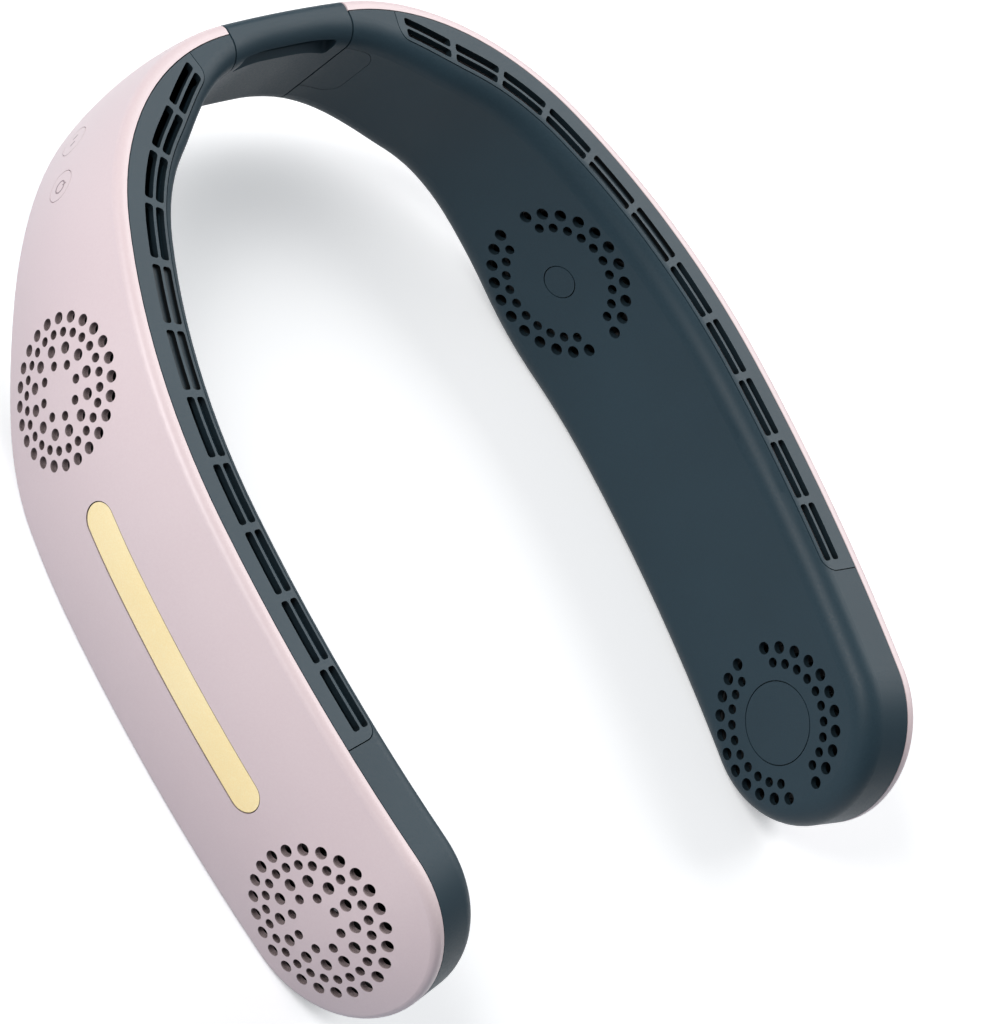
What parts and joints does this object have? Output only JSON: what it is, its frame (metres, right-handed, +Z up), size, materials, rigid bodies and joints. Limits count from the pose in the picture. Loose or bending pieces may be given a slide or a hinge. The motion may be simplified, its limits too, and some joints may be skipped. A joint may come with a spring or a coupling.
{
  "type": "neck fan",
  "caption": "Horseshoe bladeless neck fan: two hollow arms with perforated blower inlets, slotted air grilles on the top edges, a rear bridge and push buttons.",
  "frame": {"origin": "middle of the bounding box in plan, on the plane of the arms' lower edges", "axes": "+Z up with the grilles on top, +Y towards the back of the neck, +X towards the wearer's left"},
  "size_m": [0.1956, 0.2082, 0.049],
  "materials": {
    "shell_pink": "satin",
    "button_pink": "satin",
    "shell_slate": "fine matte texture",
    "grille_slate": "fine matte texture",
    "accent_champagne": "pearl gloss",
    "motor_base_slate": "matte",
    "impeller_grey": "matte",
    "magnet_iron": "dull",
    "shaft_steel": "ground",
    "stator_steel": "laminated and wound",
    "bearing_bronze": "sintered",
    "scroll_grey": "matte",
    "battery_foil": "satin foil",
    "board_green": "solder mask",
    "switch_black": "matte",
    "socket_steel": "plated",
    "cable_black": "matte"
  },
  "bodies": {
    "housing": {"control_board": "board_green", "left_accent_bar": "accent_champagne", "left_air_grille": "grille_slate", "left_battery": "battery_foil", "left_inner_shell": "shell_slate", "left_outer_shell": "shell_pink", "left_seam_cover": "shell_slate", "left_tip_bearing": "bearing_bronze", "left_tip_motor_base": "motor_base_slate", "left_tip_scroll": "scroll_grey", "left_tip_stator": "stator_steel", "left_upper_bearing": "bearing_bronze", "left_upper_motor_base": "motor_base_slate", "left_upper_scroll": "scroll_grey", "left_upper_stator": "stator_steel", "link_cable": "cable_black", "mode_switch": "switch_black", "power_switch": "switch_black", "rear_bridge": "shell_slate", "right_accent_bar": "accent_champagne", "right_air_grille": "grille_slate", "right_battery": "battery_foil", "right_inner_shell": "shell_slate", "right_outer_shell": "shell_pink", "right_seam_cover": "shell_slate", "right_tip_bearing": "bearing_bronze", "right_tip_motor_base": "motor_base_slate", "right_tip_scroll": "scroll_grey", "right_tip_stator": "stator_steel", "right_upper_bearing": "bearing_bronze", "right_upper_motor_base": "motor_base_slate", "right_upper_scroll": "scroll_grey", "right_upper_stator": "stator_steel", "usb_c_socket": "socket_steel", "usb_c_tongue": "switch_black"},
    "right_upper_wheel": {"right_upper_impeller": "impeller_grey", "right_upper_magnet_ring": "magnet_iron", "right_upper_shaft": "shaft_steel"},
    "right_tip_wheel": {"right_tip_impeller": "impeller_grey", "right_tip_magnet_ring": "magnet_iron", "right_tip_shaft": "shaft_steel"},
    "left_upper_wheel": {"left_upper_impeller": "impeller_grey", "left_upper_magnet_ring": "magnet_iron", "left_upper_shaft": "shaft_steel"},
    "left_tip_wheel": {"left_tip_impeller": "impeller_grey", "left_tip_magnet_ring": "magnet_iron", "left_tip_shaft": "shaft_steel"},
    "power_key": {"power_button": "button_pink"},
    "mode_key": {"mode_button": "button_pink"}
  },
  "joints": [
    {"name": "right_upper_spin", "type": "hinge", "parent": "housing", "child": "right_upper_wheel", "pos_m": [-0.08046, 0.03682, 0.0249], "axis": [-0.9598, 0.2806, 0], "continuous": true},
    {"name": "right_tip_spin", "type": "hinge", "parent": "housing", "child": "right_tip_wheel", "pos_m": [-0.08016, -0.07905, 0.0221], "axis": [-0.9838, -0.1791, 0], "continuous": true},
    {"name": "left_upper_spin", "type": "hinge", "parent": "housing", "child": "left_upper_wheel", "pos_m": [0.08046, 0.03682, 0.0249], "axis": [0.9598, 0.2806, 0], "continuous": true},
    {"name": "left_tip_spin", "type": "hinge", "parent": "housing", "child": "left_tip_wheel", "pos_m": [0.08016, -0.07905, 0.0221], "axis": [0.9838, -0.1791, 0], "continuous": true},
    {"name": "power_press", "type": "slide", "parent": "housing", "child": "power_key", "axis": [0.6756, -0.7373, 0], "range_m": [0, 0.0005], "stiffness_N_per_m": 1500, "springref_m": -0.0002},
    {"name": "mode_press", "type": "slide", "parent": "housing", "child": "mode_key", "axis": [0.6756, -0.7373, 0], "range_m": [0, 0.0005], "stiffness_N_per_m": 1500, "springref_m": -0.0002}
  ]
}
